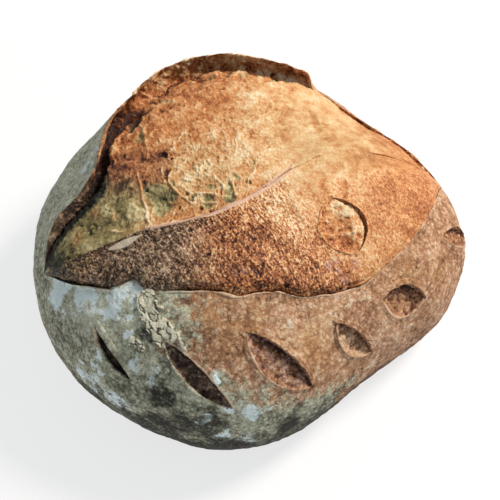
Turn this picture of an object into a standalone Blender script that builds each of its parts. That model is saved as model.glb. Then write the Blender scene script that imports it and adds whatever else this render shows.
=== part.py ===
"""Sourdough hearth loaf, one solid with its score torn wide open.

A round loaf, a little squarer than a circle, lies on its flat baked base.
One long cut ran across its top, from the left shoulder to the right one.
In the oven the loaf tore open along it: the crust behind the cut curled up
into a standing ear, and the crumb swelled out between the ear and the front
edge of the crust. Seven short leaf-shaped cuts sit round the front.

Frame: metres, +Z up, +X to the right, the leaf cuts on the -Y side, and the
origin at the middle of the bottom of the loaf's box.

Two angles place everything on the loaf. "along" runs from 0 at the left tip
of the long opening to 180 degrees at its right tip. "around" turns about the
line through both tips: 0 is up, positive is the ear's side, at the back, and
negative is the front.
"""
import math

import bmesh
import bpy
import numpy as np
from mathutils import Vector

# ---- The whole loaf, metres ------------------------------------------------
PLAN_RADIUS = 0.1075                # mean radius seen from above
PLAN_CENTRE = (-0.0057, -0.0011)    # middle of the plan outline
PLAN_LOBES = (                      # (lobes round the outline, swell, its angle in degrees)
    (2, 0.0342, 19.9),
    (3, 0.0372, -4.9),
    (4, 0.0473, -1.2),
    (5, 0.0166, 1.5),
)
TOP_HEIGHT = 0.105                  # of the crust before the ear and the swelling
WIDEST_HEIGHT = 0.040               # level of the widest outline
BASE_DEPTH = 0.030                  # how far the round belly would reach below the floor
BASE_ROUNDING = 0.004               # softening of the edge round the flat base
BASE_CUT = 0.0009                   # what is sliced off to leave the base truly flat
PLAN_POWER = 2.15                   # 2 is an ellipse, more is squarer
DOME_POWER = 2.3
BELLY_POWER = 2.4

# ---- The long opening ------------------------------------------------------
LEFT_TIP = np.array((-0.1051, -0.0299, 0.066))
RIGHT_TIP = np.array((0.1019, 0.0251, 0.064))
# Each row of values below has one value every 15 degrees along the opening,
# from its left tip to its right tip.
STATION_STEP = 15.0
FRONT_EDGE = (-42, -55, -56, -57, -58, -61, -63, -68, -71, -69, -62, -52, -36)      # degrees around
RIDGE = (-28, -21, -17, -18, -17, -14, -10, -4, 5, 14, 20, 20, 16)                  # degrees around
EAR = (58, 45.5, 48.5, 65, 73, 78.5, 78.5, 74.8, 74, 76, 75, 70, 58)                # degrees around
EAR_HEIGHT = (2, 6.5, 9.5, 10.5, 11.5, 13, 13, 12, 10.5, 9, 9, 9, 9)                # millimetres
HOLLOW_WIDTH = (19, 12.5, 8, 5, 10, 10, 8, 8, 7, 5, 4, 3, 3)                        # millimetres
HOLLOW_DEPTH = (0, 6.5, 7, 6, 6, 5.5, 5.5, 5.5, 4, 1.5, 1, 0.8, 0)                  # millimetres
CRUMB_RISE = (0, 3, 5, 5, 5.5, 6, 6, 6, 5, 3, 1, 1, 0)                              # millimetres
EAR_END = 124.0                     # degrees along, where the ear stops in a small corner
EAR_END_LENGTH = 5.0                # degrees over which it drops
LOW_EDGE = 0.0022                   # crust edge past the end of the ear
TIP_FADE = 14.0                     # degrees over which every step fades out at a tip
FRONT_FLAP = (32.5, 2.6, 4.5)       # small lip: degrees along, its half length, its rise
EAR_NOTCH = (22.0, 5.0, -4.0)       # the ear's line bends in here: the same three
CRUST_EDGE = 0.0009                 # the cut edge of the crust stands this proud
BAND_SWELL = 0.0036                 # how far the crumb in front of the ridge bulges
BAND_SAG = 0.35                     # how much of that it has lost at the ridge
RIDGE_STEP = 0.0018                 # the drop behind the ridge
# The ear's torn face and lip, from the hollow up: (how far back it leans, its height),
# and the crust behind it: (millimetres from the ear, its height). All heights are parts
# of EAR_HEIGHT, and the lean is too.
TORN_FACE = ((0.28, 0.02), (0.32, 0.38), (0.16, 0.72), (-0.02, 0.97), (0.08, 1.0))
FLARE = ((4.5, 0.86), (10, 0.62), (18, 0.34), (30, 0.12))

# ---- The leaf cuts ---------------------------------------------------------
# degrees along, degrees around, turn of its length, length, width on its
# upper side, width on its lower side, depth: the last four in millimetres.
LEAF_CUTS = (
    (34.7, -85.8, -29, 32, 0.8, 4.6, 2.4),
    (60.9, -83.4, -40, 47, 4.3, 6.3, 3.4),
    (87.0, -81.9, -58, 45, 5.3, 10.6, 4.0),
    (114.8, -88.7, -65, 31, 3.8, 8.2, 3.6),
    (135.6, -85.2, -29, 27, 7.4, 9.8, 3.8),
    (163.2, -90.5, -61, 31, 5.1, 5.6, 2.6),
    (132.0, -44.0, -86, 30, 11.7, 13.4, 4.2),
)
LEAF_POINT = 0.8                    # below 1 the ends of a cut are rounder
LEAF_RIM = 0.0008                   # how proud the crisp edge of a cut stands
LEAF_RIM_WIDTH = 0.20               # of the cut's half width

# ---- The mesh --------------------------------------------------------------
RINGS = 62                          # from tip to tip
ROWS_BAND = 6                       # rows over each region, from the front edge round
ROWS_CRUMB = 13
ROWS_BACK = 10
ROWS_BASE = 7
ROWS_FRONT = 28
BASE_BACK = 128.0                   # degrees around where the base begins, at the back
BASE_FRONT = 232.0                  # and where it ends, at the front

WELD = 0.00003                      # where rows meet at the tips

MM = 0.001
HUB = (LEFT_TIP + RIGHT_TIP) / 2
HALF_SPAN = 0.105                   # typical distance from the hub to the crust


def unit(vector):
    return vector / np.linalg.norm(vector, axis=-1, keepdims=True)


TIP_AXIS = unit(RIGHT_TIP - LEFT_TIP)
BACKWARD = unit(np.array((-TIP_AXIS[1], TIP_AXIS[0], 0.0)))
UPWARD = unit(np.cross(TIP_AXIS, BACKWARD))


# ---- The plain body --------------------------------------------------------
def fullness(points):
    """1 on the plain crust, less inside it, more outside."""
    x = points[..., 0] - PLAN_CENTRE[0]
    y = points[..., 1] - PLAN_CENTRE[1]
    heading = np.arctan2(y, x)
    outline = np.ones_like(x)
    for lobes, swell, turn in PLAN_LOBES:
        outline = outline + swell * np.cos(lobes * heading - math.radians(turn * lobes))
    level = points[..., 2] - WIDEST_HEIGHT
    dome = np.clip(level, 0, None) / (TOP_HEIGHT - WIDEST_HEIGHT)
    belly = np.clip(-level, 0, None) / (WIDEST_HEIGHT + BASE_DEPTH)
    across = np.hypot(x, y) / (PLAN_RADIUS * outline)
    return across ** PLAN_POWER + dome ** DOME_POWER + belly ** BELLY_POWER


def direction(along, around):
    """Unit vector from the hub, both angles in radians."""
    along = np.asarray(along)[..., None]
    around = np.asarray(around)[..., None]
    spoke = np.cos(around) * UPWARD + np.sin(around) * BACKWARD
    return np.sin(along) * spoke - np.cos(along) * TIP_AXIS


def body_point(along, around):
    """Point of the plain body, found by halving the distance from the hub."""
    ray = direction(along, around)
    near = np.zeros(ray.shape[:-1])
    far = np.full(ray.shape[:-1], 0.25)
    for _ in range(32):
        middle = (near + far) / 2
        inside = fullness(HUB + ray * middle[..., None]) < 1
        near = np.where(inside, middle, near)
        far = np.where(inside, far, middle)
    return HUB + ray * near[..., None]


def body_normal(points):
    """Outward normal of the plain body."""
    slopes = []
    for axis in range(3):
        step = np.zeros(3)
        step[axis] = 1e-4
        slopes.append(fullness(points + step) - fullness(points - step))
    return unit(np.stack(slopes, axis=-1))


def settle(points):
    """Presses the belly onto its flat base."""
    z = points[..., 2]
    soft = (z + np.sqrt(z * z + (2 * BASE_ROUNDING) ** 2)) / 2 - BASE_CUT
    settled = points.copy()
    settled[..., 2] = np.clip(soft, 0, None)
    return settled


# ---- The lines of the opening ----------------------------------------------
def stations(values, along):
    """Smooth curve through values spaced evenly from tip to tip (Catmull-Rom)."""
    values = np.asarray(values, dtype=float)
    place = np.degrees(along) / STATION_STEP
    left = np.clip(np.floor(place).astype(int), 0, len(values) - 2)
    t = place - left
    before = values[np.clip(left - 1, 0, None)]
    here = values[left]
    there = values[left + 1]
    after = values[np.clip(left + 2, None, len(values) - 1)]
    curve = 2 * here + (there - before) * t
    curve = curve + (2 * before - 5 * here + 4 * there - after) * t ** 2
    curve = curve + (3 * here - before - 3 * there + after) * t ** 3
    return curve / 2


def ease(value, low, high):
    """0 below low, 1 above high, smooth between."""
    t = np.clip((value - low) / (high - low), 0, 1)
    return t * t * (3 - 2 * t)


def opening_at(along):
    """Everything about the opening at one angle along it, in radians and metres."""
    degrees = np.degrees(along)
    tips = ease(degrees, 0, TIP_FADE) * ease(180 - degrees, 0, TIP_FADE)
    ended = ease(degrees, EAR_END, EAR_END + EAR_END_LENGTH)
    flap, notch = (
        rise * np.exp(-((degrees - middle) / wide) ** 2)
        for middle, wide, rise in (FRONT_FLAP, EAR_NOTCH)
    )
    height = stations(EAR_HEIGHT, along) * MM * (1 - ended) + LOW_EDGE * ended
    return {
        "tips": tips,
        "front": np.radians(stations(FRONT_EDGE, along) + flap),
        "ridge": np.radians(stations(RIDGE, along)),
        "ear": np.radians(stations(EAR, along) + notch),
        "height": height * tips,
        "hollow_width": stations(HOLLOW_WIDTH, along) * MM,
        "hollow_depth": stations(HOLLOW_DEPTH, along) * MM * tips,
        "rise": stations(CRUMB_RISE, along) * MM * tips,
        "ridge_fade": tips * (1 - ease(degrees, 118, 150)),
        "reach": HALF_SPAN * np.sqrt(np.sin(along)) + 1e-6,
    }


def spread(start, stop, count):
    """Evenly spaced values from start to stop, both included."""
    return [start + (stop - start) * k / (count - 1) for k in range(count)]


def band_rows(o):
    """From the cut front edge of the crust over the dark band of crumb to the ridge."""
    front, tips, reach = o["front"], o["tips"], o["reach"]
    band = o["ridge"] - front
    rows = [
        (front, CRUST_EDGE * tips),
        (front + min(1.0 * MM / reach, 0.04 * band), -1.0 * MM * tips),
        (front + min(4.5 * MM / reach, 0.15 * band), 0.55 * BAND_SWELL * tips),
    ]
    start = front + min(10 * MM / reach, 0.30 * band)
    stop = o["ridge"] - min(1.5 * MM / reach, 0.05 * band)
    for around in spread(start, stop, ROWS_BAND):
        t = (around - start) / (stop - start)
        rows.append((around, BAND_SWELL * (1 - BAND_SAG * t * t) * tips))
    return rows


def crumb_rows(o, hollow_edge):
    """From just behind the ridge over the pale crumb to the edge of the hollow."""
    crumb = o["ear"] - o["ridge"]
    low = BAND_SWELL * (1 - BAND_SAG) * o["tips"] - RIDGE_STEP * o["ridge_fade"]
    start = o["ridge"] + min(1.5 * MM / o["reach"], 0.04 * crumb)
    rows = []
    for around in spread(start, hollow_edge, ROWS_CRUMB):
        t = (around - start) / (hollow_edge - start)
        rows.append((around, low + (o["rise"] - low) * t ** 1.6))
    return rows


def ear_rows(o, hollow_edge):
    """Down into the hollow, up the torn face that leans back under the lip, and over it."""
    ear, height, depth, rise = o["ear"], o["height"], o["hollow_depth"], o["rise"]
    width = ear - hollow_edge
    rows = [
        (hollow_edge + width * 0.25, rise - 0.55 * (rise + depth)),
        (hollow_edge + width * 0.60, -depth),
        (ear, -0.9 * depth),
    ]
    for lean, part in TORN_FACE:
        rows.append((ear + lean * height / o["reach"], part * height))
    return rows


def crust_rows(o):
    """From the lip down the back, under the base and up to the front edge again."""
    ear, front = o["ear"], o["front"] + 2 * math.pi
    room = (math.pi - ear) * 0.35
    rows = []
    for millimetres, part in FLARE:
        turn = min(millimetres * MM / o["reach"], room * millimetres / FLARE[-1][0])
        rows.append((ear + turn, part * o["height"]))
    base_back = math.radians(BASE_BACK)
    base_front = math.radians(BASE_FRONT)
    for around in spread(rows[-1][0], base_back, ROWS_BACK + 1)[1:]:
        rows.append((around, 0.0))
    for around in spread(base_back, base_front, ROWS_BASE + 1)[1:]:
        rows.append((around, 0.0))
    for around in spread(base_front, front, ROWS_FRONT + 1)[1:-1]:
        t = (around - base_front) / (front - base_front)
        rows.append((around, CRUST_EDGE * o["tips"] * t ** 12))
    return rows


def section_rows(along):
    """Rows once round the loaf at one angle along it, as (around, lift) pairs."""
    o = opening_at(np.array(along))
    hollow_edge = o["ear"] - min(o["hollow_width"] / o["reach"], 0.45 * (o["ear"] - o["ridge"]))
    return band_rows(o) + crumb_rows(o, hollow_edge) + ear_rows(o, hollow_edge) + crust_rows(o)


# ---- The leaf cuts ---------------------------------------------------------
def leaf_depth(points):
    """How far the leaf cuts lower the crust at each point."""
    depth = np.zeros(points.shape[:-1])
    for along, around, turn, length, upper, lower, deep in LEAF_CUTS:
        along, around, turn = math.radians(along), math.radians(around), math.radians(turn)
        middle = body_point(along, around)
        normal = body_normal(middle)
        onward = body_point(along + 0.01, around) - middle
        onward = unit(onward - normal * (onward @ normal))
        sideways = np.cross(normal, onward)
        lengthwise = onward * math.cos(turn) + sideways * math.sin(turn)
        crosswise = np.cross(normal, lengthwise)
        offset = points - middle
        a = (offset @ lengthwise) / (length * MM / 2)
        b = offset @ crosswise
        taper = np.clip(1 - a * a, 1e-4, 1) ** LEAF_POINT
        half = (upper + lower) / 2 * MM * taper
        u = (b - (upper - lower) / 2 * MM * taper) / half
        close = (np.abs(offset @ normal) < 0.02) & (np.abs(a) < 1)
        bowl = np.clip(1 - u * u, 0, 1) ** 0.7 * (1 + 0.35 * u)
        rim = np.exp(-((np.abs(u) - 1) / LEAF_RIM_WIDTH) ** 2)
        fade = 1 - ease(np.abs(a), 0.75, 1.0)
        cut = deep * MM * bowl * taper ** 0.5 - LEAF_RIM * rim * fade
        depth = depth + np.where(close & (np.abs(u) < 2), cut, 0)
    return depth


# ---- The solid -------------------------------------------------------------
def crust_material():
    material = bpy.data.materials.new("crust")
    material.use_nodes = True
    shader = material.node_tree.nodes["Principled BSDF"]
    shader.inputs["Base Color"].default_value = (0.36, 0.18, 0.075, 1.0)
    shader.inputs["Roughness"].default_value = 0.75
    shader.inputs["Metallic"].default_value = 0.0
    return material


def loaf_mesh():
    """A sphere whose poles are the opening's tips, each vertex moved to its row."""
    row_count = len(section_rows(math.pi / 2))
    shape = bmesh.new()
    bmesh.ops.create_uvsphere(shape, u_segments=row_count, v_segments=RINGS, radius=1.0)
    polar = np.array([math.acos(max(-1.0, min(1.0, v.co.z))) for v in shape.verts])
    turned = [math.atan2(v.co.y, v.co.x) % (2 * math.pi) for v in shape.verts]
    row_of = [round(a / (2 * math.pi) * row_count) % row_count for a in turned]
    around = np.zeros(len(polar))
    lift = np.zeros(len(polar))
    tables = {}
    for index, along in enumerate(polar):
        key = round(float(along), 5)
        if key not in tables:
            tables[key] = section_rows(along)
        around[index], lift[index] = tables[key][row_of[index]]
    points = body_point(polar, around)
    normals = body_normal(points)
    lift = lift - leaf_depth(points)
    points = settle(points + normals * lift[:, None])
    low, high = points.min(axis=0), points.max(axis=0)
    middle = np.array(((low[0] + high[0]) / 2, (low[1] + high[1]) / 2, low[2]))
    for vertex, point in zip(shape.verts, points - middle):
        vertex.co = Vector(point)
    bmesh.ops.remove_doubles(shape, verts=shape.verts, dist=WELD)
    bmesh.ops.dissolve_degenerate(shape, edges=shape.edges, dist=WELD)
    bmesh.ops.recalc_face_normals(shape, faces=shape.faces)
    bmesh.ops.triangulate(shape, faces=shape.faces)
    mesh = bpy.data.meshes.new("loaf")
    shape.to_mesh(mesh)
    shape.free()
    mesh.shade_smooth()
    mesh.set_sharp_from_angle(angle=math.radians(50))
    return mesh


def main():
    for existing in list(bpy.data.objects):
        bpy.data.objects.remove(existing, do_unlink=True)
    collection = bpy.data.collections.new("sourdough_loaf")
    bpy.context.scene.collection.children.link(collection)
    loaf = bpy.data.objects.new("loaf", loaf_mesh())
    loaf.data.materials.append(crust_material())
    collection.objects.link(loaf)


main()
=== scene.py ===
"""A sourdough hearth loaf, torn open along its score, on a plain pale table.

The sections follow the loaf as it is made: the baked body, its long opening,
the crust, the crumb of the opening, the torn face of the ear, the crumb in
the leaf cuts and the caked flour. The table, the light and the camera come
last. Lengths are metres unless a comment says otherwise.
"""
import math

import bmesh
import bpy
import numpy as np
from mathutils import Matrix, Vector


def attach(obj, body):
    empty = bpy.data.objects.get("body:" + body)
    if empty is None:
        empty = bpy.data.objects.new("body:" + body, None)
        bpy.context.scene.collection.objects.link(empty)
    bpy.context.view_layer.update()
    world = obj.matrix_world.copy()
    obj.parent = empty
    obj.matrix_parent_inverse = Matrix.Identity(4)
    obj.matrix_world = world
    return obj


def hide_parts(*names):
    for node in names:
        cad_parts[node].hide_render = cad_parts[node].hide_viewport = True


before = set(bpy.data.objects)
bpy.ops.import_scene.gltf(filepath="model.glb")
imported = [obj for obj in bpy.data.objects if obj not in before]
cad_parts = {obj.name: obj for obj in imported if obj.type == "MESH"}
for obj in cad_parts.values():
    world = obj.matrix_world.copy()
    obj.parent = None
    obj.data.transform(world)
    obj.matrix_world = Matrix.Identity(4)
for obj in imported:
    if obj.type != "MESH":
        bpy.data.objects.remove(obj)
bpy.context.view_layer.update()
MM = 0.001


# ---- The baked body ----------------------------------------------------------
# The dough before any cut: a round, a little squarer than a circle, domed on
# top and settled on its flat base. Every piece below is laid out on it.
PLAN_RADIUS = 0.1075
PLAN_CENTRE = (-0.0057, -0.0011)
PLAN_LOBES = ((2, 0.0342, 19.9), (3, 0.0372, -4.9), (4, 0.0473, -1.2), (5, 0.0166, 1.5))
TOP_HEIGHT = 0.105
WIDEST_HEIGHT = 0.040
BASE_DEPTH = 0.030
BASE_ROUNDING = 0.004
BASE_CUT = 0.0009
PLAN_POWER = 2.15
DOME_POWER = 2.3
BELLY_POWER = 2.4
LEFT_TIP = np.array((-0.1051, -0.0299, 0.066))
RIGHT_TIP = np.array((0.1019, 0.0251, 0.064))
HUB = (LEFT_TIP + RIGHT_TIP) / 2
HALF_SPAN = 0.105
HALVINGS = 26               # steps of the search for the surface
PROBE = 1e-4                # the step that slopes are measured over
OCTAVE_SHARE = 0.55         # how strong each finer octave of noise is
LUMP_STRENGTH = 1.6


def unit(vector):
    return vector / np.linalg.norm(vector, axis=-1, keepdims=True)


TIP_AXIS = unit(RIGHT_TIP - LEFT_TIP)
BACKWARD = unit(np.array((-TIP_AXIS[1], TIP_AXIS[0], 0.0)))
UPWARD = unit(np.cross(TIP_AXIS, BACKWARD))


def fullness(points):
    """1 on the plain crust, less inside it, more outside."""
    x = points[..., 0] - PLAN_CENTRE[0]
    y = points[..., 1] - PLAN_CENTRE[1]
    heading = np.arctan2(y, x)
    outline = np.ones_like(x)
    for lobes, swell, turn in PLAN_LOBES:
        outline = outline + swell * np.cos(lobes * heading - math.radians(turn * lobes))
    level = points[..., 2] - WIDEST_HEIGHT
    dome = np.clip(level, 0, None) / (TOP_HEIGHT - WIDEST_HEIGHT)
    belly = np.clip(-level, 0, None) / (WIDEST_HEIGHT + BASE_DEPTH)
    across = np.hypot(x, y) / (PLAN_RADIUS * outline)
    return across ** PLAN_POWER + dome ** DOME_POWER + belly ** BELLY_POWER


def direction(along, around):
    """Unit vector from the hub; along runs from tip to tip, around is 0 at the top."""
    along = np.asarray(along)[..., None]
    around = np.asarray(around)[..., None]
    spoke = np.cos(around) * UPWARD + np.sin(around) * BACKWARD
    return np.sin(along) * spoke - np.cos(along) * TIP_AXIS


def cast(start, ray, reach=0.25):
    """Where a ray from inside leaves the plain body, by halving the distance."""
    near = np.zeros(ray.shape[:-1])
    far = np.full(ray.shape[:-1], reach)
    for _ in range(HALVINGS):
        middle = (near + far) / 2
        inside = fullness(start + ray * middle[..., None]) < 1
        near = np.where(inside, middle, near)
        far = np.where(inside, far, middle)
    return start + ray * near[..., None]


def body_point(along, around):
    return cast(HUB, direction(along, around))


def body_normal(points):
    """Outward normal of the plain body."""
    slopes = []
    for axis in range(3):
        step = np.zeros(3)
        step[axis] = PROBE
        slopes.append(fullness(points + step) - fullness(points - step))
    return unit(np.stack(slopes, axis=-1))


def settle(points):
    """Presses the belly onto its flat base."""
    z = points[..., 2]
    soft = (z + np.sqrt(z * z + (2 * BASE_ROUNDING) ** 2)) / 2 - BASE_CUT
    settled = points.copy()
    settled[..., 2] = np.clip(soft, 0, None)
    return settled


def ease(value, low, high):
    """0 below low, 1 above high, smooth between."""
    t = np.clip((value - low) / (high - low), 0, 1)
    return t * t * (3 - 2 * t)


def fall(value, low, high):
    """1 below low, 0 above high, smooth between."""
    return 1 - ease(value, low, high)


def dice(cells, salt):
    """A repeatable number from 0 to 1 for every whole-numbered cell."""
    n = cells[..., 0] * 73856093 ^ cells[..., 1] * 19349663 ^ cells[..., 2] * 83492791 ^ salt * 7919
    n = (n ^ n >> 13) * 1274126177 & 0x7FFFFFFF
    n = (n ^ n >> 11) * 668265263 & 0x7FFFFFFF
    return (n >> 7 & 0xFFFF) / 0xFFFF


def lumps(points, size, salt=0, octaves=1):
    """Smooth random relief from -1 to 1, with lumps of about the given size."""
    total = np.zeros(points.shape[:-1])
    strength, weight = 1.0, 0.0
    for octave in range(octaves):
        place = points / size * 2.0 ** octave + 37.3 * (octave + salt)
        cell = np.floor(place).astype(np.int64)
        t = place - cell
        t = t * t * (3 - 2 * t)
        value = 0.0
        for corner in range(8):
            step = np.array((corner & 1, corner >> 1 & 1, corner >> 2))
            share = np.prod(np.where(step, t, 1 - t), axis=-1)
            value = value + share * dice(cell + step, salt + octave)
        total += strength * (value * 2 - 1)
        weight += strength
        strength *= OCTAVE_SHARE
    return total / weight * LUMP_STRENGTH


# ---- The long opening --------------------------------------------------------
# One cut from the left shoulder to the right one, which the oven tore wide. Its
# front edge curls over the crumb and its back edge stands up as the ear.
STATION_STEP = 15.0         # degrees along between the values of a row, from the left tip
# The lines round the opening in degrees, then heights, widths and depths in millimetres.
FRONT_EDGE = (-52, -55, -56, -57, -58, -61, -63, -68, -71, -69, -62, -52, -36)
RIDGE = (-28, -21, -17, -18, -17, -14, -10, -4, 5, 14, 20, 20, 16)
EAR = (58, 45.5, 48.5, 65, 73, 78.5, 78.5, 74.8, 74, 76, 75, 70, 58)
EAR_HEIGHT = (2, 6.5, 9.5, 10.5, 11.5, 13, 13, 12, 10.5, 9, 9, 9, 9)
HOLLOW_WIDTH = (19, 12.5, 8, 5, 10, 10, 8, 8, 7, 5, 4, 3, 3)
HOLLOW_DEPTH = (0, 6.5, 7, 6, 6, 5.5, 5.5, 5.5, 4, 1.5, 1, 0.8, 0)
CRUMB_RISE = (0, 3, 5, 5, 5.5, 6, 6, 6, 5, 3, 1, 1, 0)
UNDERCUT = (-2.0, -2.2, 1.2, 2.6, 2.0, 1.0, 0.7, 0.7, 1.0, 1.0, 1.0, 1.0, 1.0)
# The torn face from its foot to the lip: parts of its height and of its lean.
TORN_FACE = ((0.02, 0.26), (0.34, 0.34), (0.70, 0.20), (0.93, 0.04), (1.0, 0.0))
# Along the opening, in degrees: where the ear ends and where the front edge joins the crumb.
EAR_END = 124.0
EAR_END_LENGTH = 5.0
LOW_EDGE = 0.0022
TIP_FADE = 14.0
JOINED = (98.0, 122.0)
# Places along, widths and rises in degrees of a flap of the front edge and a notch in the ear.
FRONT_FLAP = (32.5, 2.6, 4.5)
EAR_NOTCH = (22.0, 5.0, -4.0)
CRUST_EDGE = 0.0009
BAND_SWELL = 0.0036
BAND_SAG = 0.35
RIDGE_STEP = 0.0018
RAGGED_EAR = 0.0009


def curved(before, here, there, after, t):
    """The smooth curve from here to there, past the points before and after (Catmull-Rom)."""
    curve = 2 * here + (there - before) * t + (2 * before - 5 * here + 4 * there - after) * t ** 2
    return (curve + (3 * here - before - 3 * there + after) * t ** 3) / 2


def stations(values, along):
    """Smooth curve through values spaced evenly from tip to tip."""
    values = np.asarray(values, dtype=float)
    place = np.degrees(along) / STATION_STEP
    last = len(values) - 1
    left = np.clip(np.floor(place).astype(int), 0, last - 1)
    near = [values[np.clip(left + step, 0, last)] for step in (-1, 0, 1, 2)]
    return curved(*near, place - left)


def hump(value, middle, wide):
    """1 at the middle, fading to 0 on both sides."""
    return np.exp(-((value - middle) / wide) ** 2)


def wander(along, size, salt):
    """Random wavering from tip to tip, from -1 to 1, size in degrees."""
    line = np.stack([np.degrees(along), np.zeros_like(along), np.zeros_like(along)], axis=-1)
    return lumps(line, size, salt, octaves=3)


class Opening:
    """The lines and heights of the opening at each angle along it."""

    def __init__(self, along):
        degrees = np.degrees(along)
        self.along = along
        self.tips = ease(degrees, 0, TIP_FADE) * ease(180 - degrees, 0, TIP_FADE)
        self.reach = HALF_SPAN * np.sqrt(np.sin(along)) + 1e-6
        ended = ease(degrees, EAR_END, EAR_END + EAR_END_LENGTH)
        flap, notch = (rise * hump(degrees, *spot) for *spot, rise in (FRONT_FLAP, EAR_NOTCH))
        waver = 0.7 * wander(along, 9, 3) * self.tips
        self.front = np.radians(stations(FRONT_EDGE, along) + flap + waver)
        self.ridge = np.radians(stations(RIDGE, along) + 0.9 * wander(along, 11, 5) * self.tips)
        self.ear = np.radians(stations(EAR, along) + notch + 0.6 * wander(along, 8, 7) * self.tips)
        height = stations(EAR_HEIGHT, along) * MM * (1 - ended) + LOW_EDGE * ended
        self.height = (height + RAGGED_EAR * wander(along, 6, 9) * (1 - ended)) * self.tips
        self.ridge_fade = ease(degrees, 9, 20) * fall(degrees, 118, 150)
        self.depth = stations(HOLLOW_DEPTH, along) * MM * self.tips
        self.rise = stations(CRUMB_RISE, along) * MM * self.tips
        crumb = self.ear - self.ridge
        width = stations(HOLLOW_WIDTH, along) * MM * (1 + 0.30 * wander(along, 7, 12))
        self.hollow_edge = self.ear - np.minimum(width / self.reach, 0.45 * crumb)
        self.lean = stations(UNDERCUT, along) * self.height / self.reach
        self.ended = ended
        self.joined = ease(degrees, *JOINED)

    def wall(self, part, behind=0.0):
        """Angle of the torn face at this part of its height, or of a line behind it."""
        heights, leans = zip(*TORN_FACE)
        return self.ear + np.interp(part, heights, leans) * self.lean + behind * MM / self.reach

    def turn(self, millimetres, limit, share):
        """Angle of a distance across the opening, kept under a share of a region."""
        return np.sign(millimetres) * np.minimum(abs(millimetres) * MM / self.reach, share * limit)

    def across(self, around, line):
        """Distance in millimetres of angles round the body behind a line of the opening."""
        return (around - line) * self.reach / MM


def tip_angles(columns):
    """Angles of the columns of a sheet that runs from tip to tip."""
    return np.linspace(0.0, math.pi, columns + 1)


def loft(rails):
    """Rows between rails of (around, lift, rows to the next rail), as smooth curves."""
    tracks = np.array([(around, lift) for around, lift, _ in rails])
    rows = [tracks[0]]
    for i, (_, _, steps) in enumerate(rails[:-1]):
        near = tracks[max(i - 1, 0)], tracks[i], tracks[i + 1], tracks[min(i + 2, len(rails) - 1)]
        rows += [curved(*near, k / steps) for k in range(1, steps + 1)]
    return np.array(rows).swapaxes(0, 1)


# ---- The crust ---------------------------------------------------------------
# The dry baked skin of the loaf: floured grey-green on the left, mottled tan
# on the right, thin and curled at the ear. Seven leaf-shaped cuts open it.
CRUST_COLUMNS = 344
CRUST_CORE = (-0.002, 0.0, 0.045)   # where the hidden faces that close the piece meet
SAME_POINT = 0.00002        # points closer than this are one
SHOWN_STRIP = (0.002, 0.976)        # start and height on the bake map
HIDDEN_STRIP = (0.985, 0.01)
LEAF_CUTS = (
    # along, around and turn in degrees; length, upper and lower width, depth in millimetres
    (34.7, -85.8, -29, 32, 0.8, 4.6, 2.6),
    (60.9, -83.4, -40, 47, 4.3, 6.3, 3.4),
    (87.0, -81.9, -58, 45, 5.3, 10.6, 4.2),
    (114.8, -88.7, -65, 31, 3.8, 8.2, 4.0),
    (135.6, -85.2, -29, 27, 7.4, 9.8, 4.2),
    (163.2, -90.5, -61, 31, 5.1, 5.6, 2.8),
    (132.0, -44.0, -86, 30, 11.7, 13.4, 4.0),
)
LEAF_POINT = 0.8            # 0.5 gives a cut round ends, 1 pointed ones
LEAST_GAPE = 0.08
LEAF_MARGIN = 0.0030
CUT_CLEARANCE = 0.0015
FLOUR_CLEARANCE = 0.0012
FOOTING = 0.018             # how far under the crust the search for it starts
CUT_ROOM = 0.025            # the crust this far off a cut's own plane isn't its crust


def layers(points, *kinds):
    """Several reliefs of lumps at once, from their sizes, salts and octaves."""
    return [lumps(points, *kind) for kind in kinds]


def bubbles(points, size, salt=0):
    """Distance to the nearest and the second nearest random centre, in sizes, and its number."""
    place = points / size + 11.7 * salt
    cell = np.floor(place).astype(np.int64)
    first = np.full(points.shape[:-1], 9.0)
    second = first.copy()
    number = np.zeros(points.shape[:-1])
    for i in range(27):
        here = cell + np.array((i % 3 - 1, i // 3 % 3 - 1, i // 9 - 1))
        centre = here + np.stack([dice(here, salt + k) for k in (1, 2, 3)], axis=-1)
        away = np.linalg.norm(place - centre, axis=-1)
        closer = away < first
        second = np.where(closer, first, np.minimum(second, away))
        number = np.where(closer, dice(here, salt + 4), number)
        first = np.where(closer, away, first)
    return first, second, number


def drift(points, size, salt):
    """Random vectors that push the outline of a patch out of true."""
    return np.stack([lumps(points, size, salt + k) for k in (0, 1, 2)], axis=-1)


def angles(points):
    """How far along the opening and how far round from its top points lie, in degrees."""
    ray = unit(points - HUB)
    along = np.arccos(np.clip(-(ray @ TIP_AXIS), -1, 1))
    return np.degrees(along), np.degrees(np.arctan2(ray @ BACKWARD, ray @ UPWARD))


def away_from_line(points, line):
    """Distance to a line through places (along, around) on the body."""
    ends = [body_point(np.radians(along), np.radians(around)) for along, around in line]
    nearest = np.full(points.shape[:-1], 1.0)
    for start, stop in zip(ends, ends[1:] or ends):
        span = stop - start
        share = np.clip((points - start) @ span / max(span @ span, 1e-12), 0, 1)
        away = np.linalg.norm(points - start - share[..., None] * span, axis=-1)
        nearest = np.minimum(nearest, away)
    return nearest


def patches(points, places, soft=0.35):
    """1 inside round patches (along, around, radius in millimetres), 0 outside them."""
    aways = [away_from_line(points, (spot,)) / (radius * MM) for *spot, radius in places]
    return fall(np.min(aways, axis=0), 1 - soft, 1 + soft)


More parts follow.
